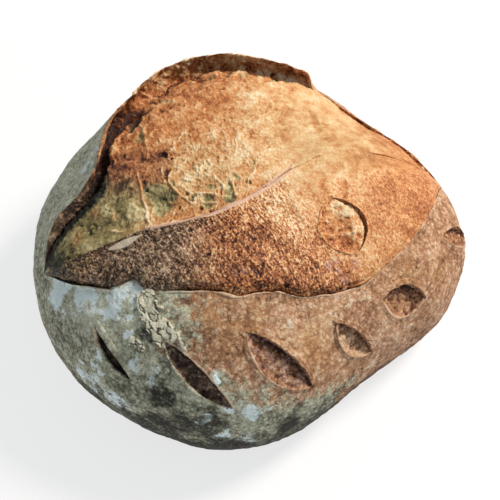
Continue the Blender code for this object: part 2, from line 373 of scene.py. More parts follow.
class LeafCut:
    """Where one leaf-shaped cut lies on the crust, and which way it runs."""

    def __init__(self, along, around, turn, length, upper, lower, deep):
        along, around, turn = math.radians(along), math.radians(around), math.radians(turn)
        self.middle = body_point(along, around)
        self.normal = body_normal(self.middle)
        onward = body_point(along + 0.01, around) - self.middle
        onward = unit(onward - self.normal * (onward @ self.normal))
        sideways = np.cross(self.normal, onward)
        self.lengthwise = onward * math.cos(turn) + sideways * math.sin(turn)
        self.crosswise = np.cross(self.normal, self.lengthwise)
        self.half_length = length * MM / 2
        self.half_width = (upper + lower) / 2 * MM
        self.shift = (upper - lower) / 2 * MM
        self.deep = deep * MM

    def place(self, a, b):
        """Points of the plain crust at a, parts of the half length, and b, across."""
        flat = self.middle + a[..., None] * self.half_length * self.lengthwise
        flat = flat + b[..., None] * self.crosswise
        start = flat - FOOTING * self.normal
        return cast(start, np.broadcast_to(self.normal, start.shape), 0.04)

    def taper(self, a):
        """How wide the cut gapes at these parts of its half length, from 0 to 1."""
        return np.clip(1 - a * a, 0, 1) ** LEAF_POINT

    def local(self, points):
        """Places along the cut in half lengths, across it, and off its own plane."""
        offset = points - self.middle
        along = offset @ self.lengthwise / self.half_length
        return along, offset @ self.crosswise, offset @ self.normal

    def across(self, points):
        """From -1 at the cut's lower edge to 1 at its upper one."""
        a, b, _ = self.local(points)
        gape = np.maximum(self.taper(a), LEAST_GAPE)
        return (b - self.shift * gape) / (self.half_width * gape)

    def outside(self, points):
        """Distance from the cut's outline, negative inside it."""
        a, b, off = self.local(points)
        side = np.abs(b - self.shift * self.taper(a))
        beyond = np.hypot((np.abs(a) - 1) * self.half_length, side)
        gap = np.where(np.abs(a) < 1, side - self.half_width * self.taper(a), beyond)
        return np.where(np.abs(off) < CUT_ROOM, gap, 1.0)


leaf_cuts = [LeafCut(*cut) for cut in LEAF_CUTS]
CAKED_FLOUR = LeafCut(44.5, -70.5, -38, 66, 19, 19, 0.0)


def under_cuts(points):
    """How far the crust is sunk out of sight under the pieces set into its cuts."""
    sunk = np.zeros(points.shape[:-1])
    for cut in leaf_cuts:
        gap = cut.outside(points)
        sunk = np.maximum(sunk, (cut.deep + CUT_CLEARANCE) * fall(gap, -0.0012, 0.0014))
    return np.maximum(sunk, FLOUR_CLEARANCE * fall(CAKED_FLOUR.outside(points), -0.0075, -0.0050))


# How far along the flour reaches at these angles round the body, in degrees.
FLOUR_AROUND = (-180, -125, -106, -92, -76, -56, 60, 100, 180)
FLOUR_ALONG = (74, 87, 104, 80, 53, 45, 56, 68, 74)
# Places on the crust: along and around in degrees, radius in millimetres.
# Caked chalky flour; the spots low on the front, around -92 to -110, are painted bluish highlights.
CHALK_AND_HIGHLIGHTS = (
    (18, -65, 12), (12, -78, 9), (31, -59, 8), (25, -66, 8), (8, -70, 9), (31, -110, 9), (40, -108, 9),
    (64, -96, 4), (70, -104, 5), (76, -107, 5), (66, -81, 4), (42, -84, 5), (50, -86, 5), (37, -76, 5),
    (36, 63, 6), (32, 62, 5), (55, 95, 8), (30, -95, 7), (80, -94, 6), (72, -92, 4),
)
# Darker patches of crust, most of them low on the front along the bottom edge.
DARK_PATCHES = (
    (63, -100, 11), (54, -104, 9), (70, -111, 12), (41, -74, 4), (88, -103, 7), (52, -92, 5), (48, -112, 6),
    (58, -114, 7), (66, -112, 6),
)
GOLDEN = (
    (65, -66, 14), (76, -66, 10), (100, -82, 12), (106, -99, 4), (143, -76, 9), (150, -84, 8),
    (26, -82, 3),
)
GOLDEN_SWELLS = ((106, -99, 5), (143, -76, 6))
BEIGE = (
    (20, 46, 3.5), (43, 68, 4), (96, -73, 12), (114, -76, 10), (106, -78, 10), (121, -74, 7), (93, -83, 6),
    (130, -90, 12), (155, -70, 8), (112, 84, 14),
)
PLATES = ((40, -63.5, 7), (44.5, -68.5, 6), (49.5, -72, 5), (55, -75, 4), (41, -80, 3.5), (44, -84, 3))
PLATE_SIZE = 0.0047
LIP_WIDTH = 0.0016
BROW_WIDTH = 0.0008


def crust_relief(base, points, sharp=False):
    """Bumps of the crust, and the marks that its finish is painted by."""
    a, r = angles(base)
    around = np.radians(r)
    height = points[..., 2]
    o = Opening(np.radians(a))
    pushed = 0.0035 * drift(points, 0.009, 61) + 0.0012 * drift(points, 0.0028, 64)
    placed = base + pushed
    cloud, mottle, pebble = layers(points, (0.017, 76, 3), (0.0052, 77, 3), (0.0026, 78, 2))

    # Flour from the basket, chalky where it caked, with painted highlights low on the front, and darker,
    # golden and beige places.
    edge = np.interp(r, FLOUR_AROUND, FLOUR_ALONG) + 9 * lumps(points, 0.016, 70, octaves=4)
    edge += 12 * ease(np.abs(r - 10), 85, 120) * lumps(points, 0.040, 71, octaves=3)
    flour = ease(edge - a, -20, 12)
    thick = 0.35 + 0.65 * ease(lumps(points, 0.007, 74, octaves=4), -0.45, 0.35)
    chalk_and_highlight = patches(placed, CHALK_AND_HIGHLIGHTS, 0.8) * thick
    dark = patches(placed, DARK_PATCHES, 0.5)
    golden = patches(placed, GOLDEN, 0.7) * ease(lumps(points, 0.012, 75, octaves=3), -0.6, 0.3)
    beige = patches(placed, BEIGE, 0.5)

    # The plates that the caked flour broke into, and the cracks between them.
    first, second, number = bubbles(points + pushed, PLATE_SIZE, 80)
    crack = fall(second - first, 0.02, 0.09) * ease(lumps(points, 0.0075, 81, octaves=2), -0.45, 0.05)
    caked = patches(placed, PLATES, 0.55)
    plates = ease(number + caked, 0.85, 0.93) * ease(caked, 0.02, 0.12)

    # The thin lip of the ear, the front edge over the crumb, and painted shade that darkens the low sides,
    # the underside and the foot of the loaf.
    lip = hump((around - o.ear) * o.reach, 0, LIP_WIDTH) * ease(a, 3, 12) * (1 - o.ended)
    brow = hump((around - o.front) * o.reach, 0, BROW_WIDTH)
    under = ease(0.028 - height, -0.010, 0.014)
    shaded = ease(0.036 - height, -0.010, 0.014) * fall(a + 12 * cloud, 84, 134)
    shaded *= fall(np.abs(r), 118, 150)
    painted_foot_shade = fall(height + 0.008 * cloud, 0.012, 0.030) * fall(a, 80, 140)

    broad, dents = layers(points, (0.042, 1), (0.016, 2))
    relief = 0.0008 * broad + 0.00045 * dents + 0.00026 * mottle + 0.00020 * pebble * (1 - 0.5 * flour)
    relief += 0.0005 * golden * patches(points, GOLDEN_SWELLS, 0.6)
    if sharp:
        relief += plates * (0.0007 + 0.0005 * number - 0.0014 * crack)

    tone = 0.60 + 0.09 * cloud + 0.12 * mottle - 0.08 * flour + 0.08 * beige - 0.42 * dark
    tone += 0.20 * flour * ease(r, -96, -70) * fall(r, -30, 30) * fall(a, 30, 60)
    tone += 0.16 * flour * ease(r, 34, 50) * fall(r, 84, 112)
    # Painted shade: darker on the low sides (shaded), under the belly (under) and at the foot.
    tone += shaded * (0.14 * lumps(points, 0.011, 79, octaves=3) - 0.30)
    tone += 0.22 * brow + 0.06 * pebble + 0.12 * chalk_and_highlight - 0.16 * under - 0.10 * painted_foot_shade - 0.22 * lip
    return relief, {
        "tone": np.clip(tone, 0, 1),
        "flour": np.clip((flour - 0.35 * golden) * (1 - lip) + 0.10 * mottle, 0, 1),
        "chalk_and_highlight": chalk_and_highlight,
        "golden": np.clip(golden + lip, 0, 1),
        "plates": plates * (1 - crack) * (0.55 + 0.45 * ease(number, 0.1, 0.7)),
        "cracks": ease(number + caked, 0.70, 0.90) * ease(caked, 0.05, 0.3) * crack,
        "rim": brow * (0.25 + 0.65 * o.joined),
    }


class Finish:
    """A procedural material, built up layer by layer on one shader."""

    def __init__(self, name, roughness, specular):
        self.material = bpy.data.materials.new(name)
        self.material.use_nodes = True
        self.tree = self.material.node_tree
        self.shader = self.tree.nodes["Principled BSDF"]
        self.shader.inputs["Roughness"].default_value = roughness
        self.shader.inputs["Specular IOR Level"].default_value = specular
        self.place = self.add("ShaderNodeTexCoord", "Object", {})

    def add(self, kind, output, sockets, **settings):
        """Adds a node with these settings, fills its sockets and gives one of its outputs."""
        node = self.tree.nodes.new(kind)
        for name, value in settings.items():
            setattr(node, name, value)
        for name, value in sockets.items():
            self.feed(node.inputs[name], value)
        return node.outputs[output]

    def feed(self, socket, value):
        """Links an output to a socket, or sets a plain number or colour on it."""
        if isinstance(value, bpy.types.NodeSocket):
            self.tree.links.new(value, socket)
        elif isinstance(value, tuple):
            socket.default_value = (*value, 1.0)
        else:
            socket.default_value = value

    def mark(self, name):
        return self.add("ShaderNodeAttribute", "Fac", {}, attribute_name=name)

    def grain(self, size, detail=2.0, rough=0.5, place=None):
        """Cloudy noise from 0 to 1 with lumps of about this size in metres."""
        place = place or self.place
        sockets = {"Vector": place, "Scale": 1 / size, "Detail": detail, "Roughness": rough}
        return self.add("ShaderNodeTexNoise", "Fac", sockets)

    def fibres(self, size, stretch, turn):
        """Grain drawn out along fibres that run at this angle, seen from above."""
        sockets = {"Vector": self.place, "Rotation": [0, 0, turn], "Scale": [1, stretch, 1]}
        turned = self.add("ShaderNodeMapping", "Vector", sockets, vector_type="TEXTURE")
        return self.grain(size, 3.0, 0.6, turned)

    def cells(self, size, feature="F1"):
        sockets = {"Vector": self.place, "Scale": 1 / size}
        return self.add("ShaderNodeTexVoronoi", "Distance", sockets, feature=feature)

    def levels(self, value, low, high, least=0.0, most=1.0):
        sockets = {"Value": value, "From Min": low, "From Max": high, "To Min": least, "To Max": most}
        return self.add("ShaderNodeMapRange", "Result", sockets)

    def swing(self, value, amount, low=0.3, high=0.7):
        """Grain as a change from minus this amount to plus it."""
        return self.levels(value, low, high, -amount, amount)

    def spots(self, size, change, low=0.60, high=0.67):
        """Scattered small spots that change a tone by this much."""
        return self.levels(self.grain(size), low, high, 0.0, change)

    def total(self, value, *others):
        for other in others:
            value = self.add("ShaderNodeMath", 0, {0: value, 1: other}, operation="ADD")
        return value

    def times(self, value, other):
        return self.add("ShaderNodeMath", 0, {0: value, 1: other}, operation="MULTIPLY")

    def ramp(self, value, *stops):
        """Colours at these places along the value; the ends come first."""
        colour = self.add("ShaderNodeValToRGB", "Color", {"Fac": value})
        colours = colour.node.color_ramp.elements
        for i, (place, shade) in enumerate(stops):
            stop = colours[i] if i < 2 else colours.new(place)
            stop.position = place
            stop.color = (*shade, 1.0)
        return colour

    def coat(self, colour, *coats):
        """Lays coats (amount, colour) over a colour, one after another."""
        for amount, over in coats:
            sockets = {0: amount, 6: colour, 7: over}
            colour = self.add("ShaderNodeMix", 2, sockets, data_type="RGBA")
        return colour

    def complete(self, colour, height, depth):
        """Paints the shader and gives it fine relief of this depth in metres."""
        bump = self.add("ShaderNodeBump", "Normal", {"Height": height, "Distance": depth})
        self.feed(self.shader.inputs["Base Color"], colour)
        self.feed(self.shader.inputs["Normal"], bump)
        return self.material


def crust_finish():
    finish = Finish("baked crust", 0.78, 0.25)
    coarse = finish.grain(0.0050, 4, 0.62)
    fine = finish.grain(0.0010, 4, 0.70)
    blobs = finish.levels(finish.cells(0.0024), 0.18, 0.62, 0.13, -0.12)
    crackle = finish.levels(finish.cells(0.0034, "DISTANCE_TO_EDGE"), 0.015, 0.075, -0.24, 0.0)
    crackle = finish.times(crackle, finish.levels(coarse, 0.46, 0.58))
    tone = finish.total(finish.mark("tone"), finish.swing(coarse, 0.15), finish.swing(fine, 0.15))
    spots = finish.total(finish.spots(0.0019, -0.16), finish.spots(0.0014, 0.16))
    tone = finish.total(tone, finish.total(blobs, crackle), spots)
    colour = finish.ramp(
        tone, (0.0, (0.040, 0.022, 0.013)), (1.0, (0.80, 0.62, 0.45)), (0.25, (0.18, 0.088, 0.047)),
        (0.50, (0.44, 0.222, 0.116)), (0.75, (0.66, 0.420, 0.262)),
    )
    golden = finish.ramp(
        tone, (0.0, (0.08, 0.032, 0.013)), (1.0, (0.76, 0.50, 0.27)), (0.5, (0.43, 0.210, 0.092)),
    )
    floury = finish.ramp(
        tone, (0.0, (0.030, 0.028, 0.021)), (1.0, (0.76, 0.76, 0.60)), (0.30, (0.17, 0.165, 0.115)),
        (0.62, (0.50, 0.500, 0.365)),
    )
    # Chalky flour colour, which also paints the bluish highlights low on the front.
    chalky_and_highlight = finish.ramp(tone, (0.10, (0.27, 0.33, 0.32)), (0.60, (0.86, 0.97, 0.97)))
    plate = finish.ramp(fine, (0.30, (0.64, 0.59, 0.42)), (0.66, (0.94, 0.89, 0.70)))
    clouds = finish.levels(coarse, 0.36, 0.64, -0.30, 0.25)
    dust = finish.total(finish.mark("flour"), finish.swing(fine, 0.3), clouds)
    chalk_and_highlight = finish.total(finish.mark("chalk_and_highlight"), finish.swing(fine, 0.25), clouds)

    # The crumb inside the leaf cuts.
    gashed = finish.ramp(
        tone, (0.0, (0.020, 0.010, 0.008)), (1.0, (0.72, 0.47, 0.27)), (0.25, (0.105, 0.040, 0.024)),
        (0.50, (0.32, 0.135, 0.065)), (0.75, (0.55, 0.280, 0.130)),
    )
    ashen = finish.ramp(
        tone, (0.0, (0.014, 0.011, 0.009)), (1.0, (0.55, 0.50, 0.42)), (0.4, (0.13, 0.092, 0.068)),
    )
    # Painted sheen: pale violet glints on the crumb in one cut.
    gloss = finish.times(finish.mark("painted_sheen"), finish.levels(fine, 0.48, 0.60))
    gashed = finish.coat(gashed, (finish.mark("ashen"), ashen), (gloss, (0.52, 0.44, 0.50)))

    colour = finish.coat(
        colour,
        (finish.mark("golden"), golden),
        (finish.levels(dust, 0.20, 0.72), floury),
        (finish.levels(chalk_and_highlight, 0.34, 0.62, 0.0, 0.92), chalky_and_highlight),
        (finish.mark("plates"), plate),
        (finish.levels(finish.mark("cracks"), 0.0, 1.0, 0.0, 0.7), (0.05, 0.045, 0.04)),
        (finish.mark("inside"), gashed),
        (finish.mark("rim"), (0.72, 0.48, 0.32)),
    )
    return finish.complete(colour, finish.coat(coarse, (0.6, fine)), 0.0012)


def crust_rails(o):
    """From behind the torn face over the lip, down the back, under and up the front."""
    rails = [(o.wall(0.0, 2.4 * o.tips), -1.7 * o.depth - 2.0 * MM * o.tips, 3)]
    for part, behind, rows in (
        (0.2, 1.9, 2), (0.62, 1.5, 3), (0.90, 0.8, 3), (0.995, 0.15, 3), (1.03, 0.5, 3),
    ):
        rails.append((o.wall(part, behind * o.tips), part * o.height, rows))
    room = (math.pi - o.ear) * 0.35
    for distance, part, rows in (
        (1.9, 0.975, 4), (4.5, 0.86, 6), (10, 0.62, 8), (18, 0.34, 10), (30, 0.12, 12),
    ):
        turn = np.minimum(distance * MM / o.reach, room * distance / 30)
        rails.append((o.ear + turn, part * o.height, rows))
    level = np.zeros_like(o.along)
    last = rails[-1][0]
    for degrees, rows in ((118, 14), (136, 9), (158, 7), (180, 7), (202, 7), (222, 12)):
        around = np.maximum(math.radians(degrees) + level, last + math.radians(degrees - 112))
        rails.append((around, level, rows))
    start, front = rails[-1][0], o.front + 2 * math.pi
    for share, rows in ((0.10, 30), (0.35, 40), (0.65, 44), (0.93, 8)):
        rails.append((start + (front - start) * share, level, rows))
    edge = CRUST_EDGE * (1 - 0.6 * o.joined) * o.tips
    for distance, lift, rows in (
        (-1.6, 0.25 * edge, 4), (-0.5, 0.9 * edge, 3), (0.0, edge, 3), (0.25, 0.35 * edge, 3),
        (0.1, -1.3 * MM * o.tips, 2), (-0.6, -3.2 * MM * o.tips, 1),
    ):
        rails.append((front + o.turn(distance, 1.0, 0.5), lift, rows))
    return rails


def flat_sheet(name, columns, rows):
    """A flat grid, with the column and the row of each of its points."""
    sheet = bmesh.new()
    sheet.loops.layers.uv.new("OFBake")
    bmesh.ops.create_grid(sheet, x_segments=columns, y_segments=rows, size=0.5, calc_uvs=True)
    mesh = bpy.data.meshes.new(name)
    sheet.to_mesh(mesh)
    sheet.free()
    place = np.empty(len(mesh.vertices) * 3)
    mesh.vertices.foreach_get("co", place)
    place = place.reshape(-1, 3) + 0.5
    return mesh, np.rint(place[:, 0] * columns).astype(int), np.rint(place[:, 1] * rows).astype(int)


def draw_border(piece):
    """Draws a new row of faces out of the border, and gives its points and faces."""
    border = [edge for edge in piece.edges if edge.is_boundary]
    drawn = bmesh.ops.extrude_edge_only(piece, edges=border)["geom"]
    points = [part for part in drawn if isinstance(part, bmesh.types.BMVert)]
    return points, [part for part in drawn if isinstance(part, bmesh.types.BMFace)]


def close_piece(mesh, points, marks, core, tuck):
    """Lays the sheet on its points, adds its marks and closes it underneath.

    Its border is drawn inwards by tuck and then gathered at the core point,
    inside the loaf. The hidden faces share a thin strip of the bake map.
    """
    mesh.vertices.foreach_set("co", np.ascontiguousarray(points, dtype=np.float32).ravel())
    for mark, values in marks.items():
        layer = mesh.attributes.new(mark, "FLOAT", "POINT")
        layer.data.foreach_set("value", np.ascontiguousarray(values, dtype=np.float32))
    piece = bmesh.new()
    piece.from_mesh(mesh)
    bmesh.ops.remove_doubles(piece, verts=piece.verts, dist=SAME_POINT)
    core = Vector(core)
    rim, skirt = draw_border(piece)
    for vertex in rim:
        vertex.co += (core - vertex.co).normalized() * tuck
    gathered, fan = draw_border(piece)
    hidden = {*skirt, *fan}
    bmesh.ops.pointmerge(piece, verts=gathered, merge_co=core)
    bake_map = piece.loops.layers.uv["OFBake"]
    for face in piece.faces:
        face.smooth = True
        start, height = HIDDEN_STRIP if face in hidden else SHOWN_STRIP
        for loop in face.loops:
            u, v = loop[bake_map].uv
            loop[bake_map].uv = (0.002 + 0.996 * u, start + height * v)
    bmesh.ops.recalc_face_normals(piece, faces=piece.faces)
    piece.to_mesh(mesh)
    piece.free()
    return mesh


def sheet_normals(points, outward, column, row):
    """Normals of a sheet laid out in columns from left to right and rows from front to back."""
    grid = np.empty((row.max() + 1, column.max() + 1, 3))
    grid[row, column] = points
    normals = np.cross(np.gradient(grid, axis=1), np.gradient(grid, axis=0))[row, column]
    length = np.linalg.norm(normals, axis=-1, keepdims=True)
    return np.where(length > 1e-10, normals / np.maximum(length, 1e-12), outward)


def add_object(name, data):
    """A new object in the scene."""
    made = bpy.data.objects.new(name, data)
    bpy.context.scene.collection.objects.link(made)
    return made


def show(mesh, material):
    """Puts a finished piece in the scene; it stands for the loaf's solid."""
    mesh.materials.append(material)
    piece = add_object(mesh.name, mesh)
    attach(piece, "root")
    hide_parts("loaf")


def lay_sheet(name, columns, rail_maker, relief_maker, tapered):
    """A sheet over the body from tip to tip: its mesh, points and marks."""
    o = Opening(tip_angles(columns))
    around, lift = loft(rail_maker(o))
    mesh, column, row = flat_sheet(name, columns, len(around) - 1)
    base = body_point(o.along[column], around[row, column])
    outward = body_normal(base)
    lifted = base + outward * lift[row, column][:, None]
    relief, marks = relief_maker(base, lifted)
    if tapered:
        relief = relief * o.tips[column]
    normals = sheet_normals(lifted, outward, column, row)
    points = lifted + normals * relief[:, None] - outward * under_cuts(base)[:, None]
    return mesh, points, marks


baked_crust = crust_finish()
mesh, points, marks = lay_sheet("crust", CRUST_COLUMNS, crust_rails, crust_relief, tapered=False)
show(close_piece(mesh, settle(points), marks, CRUST_CORE, tuck=0.004), baked_crust)


# ---- The crumb of the opening ------------------------------------------------
# The dough that the oven pushed up through the cut: a dark, blistered band at
# the front, a step with a thin cord of skin on it, and paler crumb behind.
BAND_COLUMNS = 560
CRUMB_COLUMNS = 470
BAND_CORE = (0.0, -0.02, 0.070)
PALE_CORE = (0.0, 0.02, 0.065)
FIBRE_TURN = math.radians(27)
# Places in the crumb: along and around in degrees, the rest in millimetres.
PITS = (
    # along, around, radius, depth
    (52, 40, 1.9, 2.0), (54, 35, 1.2, 1.4), (49, 27, 1.5, 1.6), (36, 50, 1.6, 1.4), (17, 2, 1.3, 0.8),
    (57, -10, 1.5, 1.4), (63, -14, 1.4, 1.2), (88, -3, 1.0, 0.8), (82, 56, 1.0, 0.9), (94, 64, 1.0, 0.9),
    (95, 58, 0.7, 0.6), (124, 10, 1.1, 1.1), (90, -53, 1.1, 1.2), (94, -62, 1.5, 1.6), (120, -68, 0.8, 1.2),
    (134, -66, 0.9, 1.2), (75, -47, 1.3, 1.3), (66, -38, 1.1, 1.0), (30, -8, 0.8, 0.7), (51, -27, 1.2, 1.1),
    (61, -44, 1.0, 1.0), (84, -40, 0.9, 0.9), (71, 48, 0.9, 0.8), (104, 22, 0.7, 0.6), (66, 20, 0.8, 0.7),
)
WINDOWS = (
    (40, 14, 5.5), (39, 1, 5.0), (47, 17, 3.0), (45, 6, 2.6), (53, 2, 2.6), (62, -6, 3.0), (76, 1, 3.2),
    (77, -6, 2.4), (92, 2, 2.0), (96, 16, 2.4), (66, 4, 2.0), (84, 8, 2.0), (70, 68, 2.2), (52, 56, 2.2),
    (91, 71, 2.0), (103, 70, 2.0), (109, 69.5, 2.2), (115, 69, 2.4), (96, 71, 1.4),
)
STRANDS = (
    ((39, 34), (37, 26), (34, 12), (34, -4), (35, -14), (33, -16)),
    ((33, -16), (43, -16), (52, -14)),
    ((49, 26), (46, 14), (48, 4), (54, -4), (66, -9)),
    ((52, 8), (58, 2), (66, -2), (74, -5)),
    ((70, 12), (73, 4), (72, -6)),
    ((83, 14), (80, 4), (79, -6)),
    ((98, 12), (94, 6), (90, 0)),
    ((45, 22), (44, 20), (46, 18)),
    ((25, 9), (24, 5)),
    ((22, -6), (25, -9)),
    ((57, 60), (53, 57), (50, 50)),
)
CREASE = ((51, 63), (56, 65.5), (61, 66.5), (66, 66), (74, 61.5))
BLISTER = ((132, 57), (137, 42))
STALK = ((143, -14), (141, -22), (137, -32))
ASHEN = ((40, 41, 14), (33, 36, 13), (45, 32, 9), (28, 42, 9), (22, 44, 8), (36, 27, 8))
# Spots of painted violet sheen on the band.
PAINTED_SHEEN_SPOTS = ((120, -62.5, 4.5), (117, -60, 3.5), (124, -62, 3.5), (75, -53, 2.0))
STRAW = ((130, 38, 32), (148, 32, 26), (62, 12, 22))
BRIGHT_RIGHT = ((118, 48, 34), (122, 25, 28))
BRIGHT_MIDDLE = ((54, 20, 15), (66, 22, 17), (80, 16, 17), (62, 4, 14), (90, 4, 13))
SCORCHED = ((13, 5, 3), (20, 20, 3))
# Spots of painted shadow next to the torn ear at the left tip.
PAINTED_SHADOW_SPOTS = ((5.5, -10, 5.5), (4.5, 18, 5), (5, 35, 4.5), (6.5, -28, 3.5))
SLIVER = ((22, -25), (27, -24.5), (32, -21.5))
SLIVER_WIDTH = 0.0022


def streaks(across, onward, width, length, salt):
    """Random fibres of this width and length, in millimetres."""
    place = np.stack([across / width, onward / length, 0 * across], axis=-1)
    return lumps(place, 1.0, salt, octaves=3)


def near_line(points, line, full, gone):
    """1 within the distance full of a line on the body, 0 beyond the distance gone."""
    return fall(away_from_line(points, line), full, gone)


def crumb_relief(base, points):
    """Relief of the torn crumb, and the marks that its finish is painted by."""
    a, r = angles(base)
    along, around = np.radians(a), np.radians(r)
    o = Opening(along)
    past = o.across(around, o.ridge)
    to_hollow = o.across(around, o.hollow_edge)
    share = (around - o.front) / np.maximum(o.ridge - o.front, 0.02)
    pushed = 0.0022 * drift(points, 0.008, 41) + 0.0009 * drift(points, 0.0024, 44)
    ragged = points + pushed
    placed = base + pushed
    wavering = base + 0.0008 * drift(points, 0.004, 46)
    cloud, grain, specks = layers(points, (0.018, 53, 2), (0.0017, 55, 2), (0.0012, 66, 2))
    mottle, tatters = layers(ragged, (0.0062, 54, 3), (0.0050, 65, 3))

    # The dark band, the pale crumb behind it, and the ends of the opening.
    right = ease(a + 4 * lumps(points, 0.02, 40), 106, 132)
    band = fall(past, -0.6, 0.5) * (1 - ease(a, 104, 128) * ease(share, 0.45, 0.9))
    pale = 1 - band
    left = fall(a + 3 * cloud, 40, 72)
    tip = fall(a + 3 * mottle, 13, 21)
    torn_edge = ease(to_hollow, -10, -1) * (1 - right)
    # Painted shade where the crumb falls into the hollow before the ear.
    hollow = ease(to_hollow, -1.0, 3.5)

    # Torn fibres: slanted on the band, steep and then lengthwise behind it.
    s, t = along * HALF_SPAN / MM, around * o.reach / MM
    slant, onward = 0.87 * s + 0.5 * t, 0.5 * s - 0.87 * t
    wave = 1.2 * lumps(points, 0.009, 59)
    slanted = streaks(slant, onward, 1.1, 6.0, 50)
    curl = 0.5 - np.abs(streaks(slant + wave, onward, 1.6, 3.4, 63))
    lengthwise = streaks(0.98 * t + 0.16 * s + wave, s, 0.9, 5.5, 51)
    steep = streaks(0.95 * s - 0.3 * t + wave, 0.3 * s + 0.95 * t, 0.9, 4.0, 52)
    turned = ease(a + 0.25 * r, 70, 104)
    fibre = band * slanted + pale * (turned * lengthwise + (1 - turned) * steep)
    fibre = (1 - right) * fibre + right * lengthwise

    # Blisters, crinkles and the thin web of stretched crumb.
    first, _, number = bubbles(points + 0.0006 * drift(points, 0.003, 47), 0.0023, 56)
    blister = fall(first, 0.15, 0.75)
    crinkle = 0.5 - np.abs(lumps(ragged, 0.0024, 60, octaves=2))
    web = fall(np.abs(lumps(ragged, 0.0058, 57, octaves=2)), 0.02, 0.15)
    web *= ease(number + 0.4 * mottle, 0.1, 0.5) * pale * (1 - right) * ease(118 - a, 0, 45)

    # Pits, see-through windows with strands across them, creases and scalds.
    hole, _, number = bubbles(points, 0.0062, 58)
    dug = 0.9 * fall(hole, 0.10, 0.22) * ease(number, 0.60, 0.66) * (1 - 0.75 * turned)
    dug *= pale * (1 - right)
    for *spot, radius, deep in PITS:
        radius *= MM
        near = near_line(wavering + 0.3 * pushed, (spot,), 0.35 * radius, 1.25 * radius)
        dug = np.maximum(dug, deep * near)
    window = patches(wavering + 0.6 * pushed, WINDOWS, 0.3)
    strand = pale * np.max([near_line(wavering, line, 0.0003, 0.0011) for line in STRANDS], axis=0)
    crease = fall(away_from_line(placed, CREASE) + 0.0024 * ease(a, 57, 66), 0.0012, 0.0040)
    scald = near_line(base, BLISTER, 0.0008, 0.0026)
    stalk = near_line(base, STALK, 0.0003, 0.0015)

    # The cord of skin along the step and the white sliver at its left end.
    thick = 1.0 + 1.9 * ease(a, 50, 72)
    ribbon = fall(np.abs(past + thick), thick, thick + 0.35) * ease(a, 32, 38) * fall(a, 112, 126)
    sliver = away_from_line(base, SLIVER) / SLIVER_WIDTH + 0.85 * ease(np.abs(a - 26.5), 0.5, 6.5)
    sliver = fall(sliver, 0.85, 1.05) * fall(past, 0.2, 0.6)
    smooth = (1 - 0.9 * ribbon) * (1 - sliver)

    fine = 0.25 * blister + 0.32 * slanted + 0.24 * specks + 0.34 * mottle + 0.30 * crinkle + 0.40 * curl
    behind = 0.26 * fibre + 0.36 * mottle + 0.18 * grain + 0.50 * crinkle + 0.50 * web
    fine = (1 - 0.62 * right) * (band * fine + pale * behind) + 1.3 * torn_edge * tatters
    fine += 0.8 * strand - 0.8 * window * (1 - strand) - dug - 2.6 * crease - 0.45 * scald - 0.5 * stalk
    broad, dents = layers(points, (0.030, 31), (0.011, 32))
    relief = 0.0010 * broad + (0.00055 - 0.0002 * right) * dents
    relief += MM * (smooth * fine + 0.30 * ribbon + 0.9 * sliver)
    relief -= 0.00030 * fall(np.abs(past + 1.2 * thick), 0.15, 0.45) * ribbon

    # Colours of their own: green-brown, straw, ash and scorched spots; also a painted violet sheen and
    # painted shadow next to the torn ear.
    olive = fall(a + 0.35 * np.abs(r - 8) + 5 * cloud, 30, 52) * np.maximum(pale, 0.8 * tip)
    straw = 0.28 * pale * patches(placed, STRAW, 0.7)
    ashen = patches(placed, ASHEN, 0.5)
    painted_sheen = patches(placed, PAINTED_SHEEN_SPOTS, 0.5) * ease(mottle + 0.3 * slanted, -0.7, 0.1)
    scorch = 0.6 * patches(placed, SCORCHED, 0.8)
    # Painted shadow along the hollow's edge at the left.
    painted_hollow_shadow = ease(to_hollow + 1.5 * mottle, -8.5, -2.0) * fall(a, 24, 38)
    painted_shadow = np.maximum(patches(placed, PAINTED_SHADOW_SPOTS, 0.4), painted_hollow_shadow)

    # How far each part is baked, and at the band's foot also painted shade: the band, the crumb behind it,
    # the right end.
    upper = ease(share + (a - 55) / 61, 0.79, 1.54)
    shade = 0.30 + 0.09 * ease(a, 30, 60) + 0.32 * upper - 0.12 * ease(a, 84, 104) * (1 - upper)
    # Darker along the band's foot at the crust's front edge: browned crumb and painted shade.
    shade -= 0.10 * fall(share, 0.0, 0.16) * (1 - right) + 0.12 * fall(a, 20, 34)
    shade += 0.16 * fibre + 0.06 * blister + 0.16 * mottle + 0.12 * specks + 0.10 * crinkle
    shade += 0.10 * curl + 0.16 * cloud
    bright = 0.54 + 0.14 * patches(points, BRIGHT_RIGHT, 0.7) + 0.02 * left - 0.05 * olive
    bright += 0.12 * patches(placed, BRIGHT_MIDDLE, 0.8) + 0.09 * fibre + 0.20 * mottle + 0.22 * web
    bright += 0.13 * cloud + 0.16 * crinkle
    fading = 0.73 - 0.12 * ease(a, 136, 156) - 0.12 * ease(-r, 5, 40)
    fading += 0.08 * fibre + 0.14 * mottle + 0.09 * cloud + 0.06 * crinkle
    tone = (1 - right) * (band * shade + pale * bright) + right * fading
